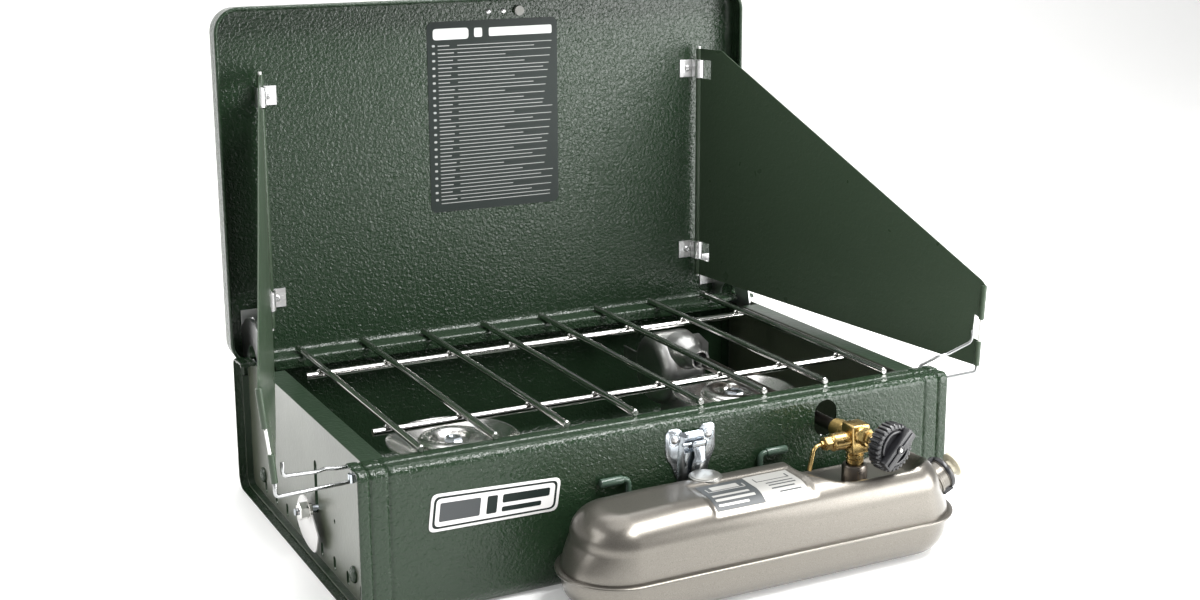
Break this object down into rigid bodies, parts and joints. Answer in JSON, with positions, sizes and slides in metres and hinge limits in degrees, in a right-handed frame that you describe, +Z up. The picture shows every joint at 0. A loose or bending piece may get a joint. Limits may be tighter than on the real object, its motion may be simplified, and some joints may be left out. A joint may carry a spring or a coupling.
{
  "type": "two-burner camp stove",
  "caption": "Folding liquid-fuel camp stove: green steel case with lid, side wind wings, lift-up wire grate, two burners and a pressure tank with generator hung on the front.",
  "frame": {"origin": "centre of the case's flat bottom face", "axes": "+X to the right of the front panel, +Y to the rear where the lid is hinged, +Z up"},
  "size_m": [0.5512, 0.4006, 0.3782],
  "materials": {
    "green_enamel": "dark green hammered gloss enamel",
    "wing_enamel": "smooth gloss dark green enamel",
    "zinc": "bright zinc plate",
    "steel": "stamped bare steel, satin",
    "nickel": "bright nickel plate",
    "brass": "turned brass, lightly tarnished",
    "tank_paint": "champagne silver metallic paint",
    "dark_steel": "dark oxidised steel",
    "white_wire": "pale zinc wire",
    "black_plastic": "black moulded plastic",
    "cream_plastic": "cream moulded plastic",
    "label": null,
    "silver_label": null,
    "grey_rubber": "grey rubber",
    "manifold_steel": "aluminised stamped steel"
  },
  "bodies": {
    "case": {"case_shell": "green_enamel", "end_panel_left": "green_enamel", "end_panel_right": "green_enamel", "case_rivets": "zinc", "hanger_wire_left": "green_enamel", "hanger_wire_right": "green_enamel", "latch_base": "zinc", "front_label": "silver_label", "bail_brackets": "zinc", "hinge_brackets": "zinc", "aux_burner_bowl": "steel", "main_burner_bowl": "steel", "aux_burner_rings": "steel", "main_burner_rings": "steel", "aux_burner_cap": "steel", "main_burner_cap": "steel", "burner_screws": "zinc", "manifold": "manifold_steel", "aux_gas_tube": "steel", "aux_valve_body": "brass", "burner_supports": "zinc"},
    "lid": {"lid_pan": "green_enamel", "hinge_strap_left": "steel", "hinge_strap_right": "steel", "lid_rivets": "brass", "wing_clips": "nickel", "lid_strike": "zinc", "lid_bumper": "grey_rubber", "lid_label": "label"},
    "left_wing": {"wing_left": "wing_enamel", "wing_left_wires": "white_wire"},
    "right_wing": {"wing_right": "wing_enamel", "wing_right_wires": "white_wire"},
    "left_bail": {"bail_left": "white_wire"},
    "right_bail": {"bail_right": "white_wire"},
    "grate": {"grate_rods": "nickel", "grate_crossbars": "nickel"},
    "tank": {"tank_upper": "tank_paint", "tank_lower": "tank_paint", "filler_neck": "tank_paint", "valve_collar": "dark_steel", "valve_body": "brass", "packing_nut": "brass", "generator_nut": "brass", "generator_tube": "dark_steel", "fuel_tube": "brass", "lever_gland": "brass", "pump_barrel": "tank_paint", "pump_clip": "black_plastic", "tank_hangers": "tank_paint"},
    "cap": {"filler_cap": "nickel"},
    "lever": {"lighting_lever": "brass"},
    "control": {"valve_stem": "steel", "valve_knob": "black_plastic"},
    "plunger": {"pump_rod": "steel"},
    "pump_handle": {"pump_knob": "cream_plastic"},
    "aux_control": {"aux_stem": "zinc", "aux_knob": "steel"},
    "latch": {"latch_lever": "zinc"}
  },
  "joints": [
    {"name": "lid_recline", "type": "hinge", "parent": "case", "child": "lid", "pos_m": [0, 0.141, 0.1], "axis": [1, 0, 0], "range_deg": [-12, 0]},
    {"name": "wing_left_fold", "type": "hinge", "parent": "lid", "child": "left_wing", "pos_m": [-0.194, 0.16, 0.2], "axis": [0, 0, 1], "range_deg": [0, 105.2]},
    {"name": "wing_right_fold", "type": "hinge", "parent": "lid", "child": "right_wing", "pos_m": [0.194, 0.16, 0.2], "axis": [0, 0, -1], "range_deg": [0, 103.8]},
    {"name": "bail_left_swing", "type": "hinge", "parent": "case", "child": "left_bail", "pos_m": [-0.2246, -0.119, 0.09], "axis": [0, 0, -1], "range_deg": [0, 107]},
    {"name": "bail_right_swing", "type": "hinge", "parent": "case", "child": "right_bail", "pos_m": [0.2246, -0.119, 0.09], "axis": [0, 0, 1], "range_deg": [0, 121]},
    {"name": "grate_lift", "type": "hinge", "parent": "case", "child": "grate", "pos_m": [0, 0.1364, 0.1078], "axis": [-1, 0, 0], "range_deg": [0, 60]},
    {"name": "tank_pull", "type": "slide", "parent": "case", "child": "tank", "axis": [0, -1, 0], "range_m": [0, 0.19]},
    {"name": "filler_cap_turn", "type": "hinge", "parent": "tank", "child": "cap", "pos_m": [0.006, -0.172, 0.07], "axis": [0, 0, 1], "continuous": true},
    {"name": "lighting_lever_turn", "type": "hinge", "parent": "tank", "child": "lever", "pos_m": [0.097, -0.184, 0.084], "axis": [-1, 0, 0], "range_deg": [0, 180]},
    {"name": "control_knob_turn", "type": "hinge", "parent": "tank", "child": "control", "pos_m": [0.12, -0.191, 0.088], "axis": [0.1392, -0.9903, 0], "range_deg": [0, 720]},
    {"name": "pump_stroke", "type": "slide", "parent": "tank", "child": "plunger", "axis": [0.9063, 0, 0.4226], "range_m": [0, 0.056]},
    {"name": "pump_handle_turn", "type": "hinge", "parent": "plunger", "child": "pump_handle", "pos_m": [0.188, -0.19, 0.046], "axis": [0.9063, 0, 0.4226], "range_deg": [0, 360]},
    {"name": "aux_knob_turn", "type": "hinge", "parent": "case", "child": "aux_control", "pos_m": [-0.22, -0.022, 0.038], "axis": [1, 0, 0], "range_deg": [0, 720]},
    {"name": "latch_swing", "type": "hinge", "parent": "case", "child": "latch", "pos_m": [0.0094, -0.1506, 0.088], "axis": [-1, 0, 0], "range_deg": [0, 140]}
  ],
  "couplings": [
    {"joint": "bail_left_swing", "follows": "wing_left_fold", "ratio": 1.017},
    {"joint": "bail_right_swing", "follows": "wing_right_fold", "ratio": 1.165}
  ]
}
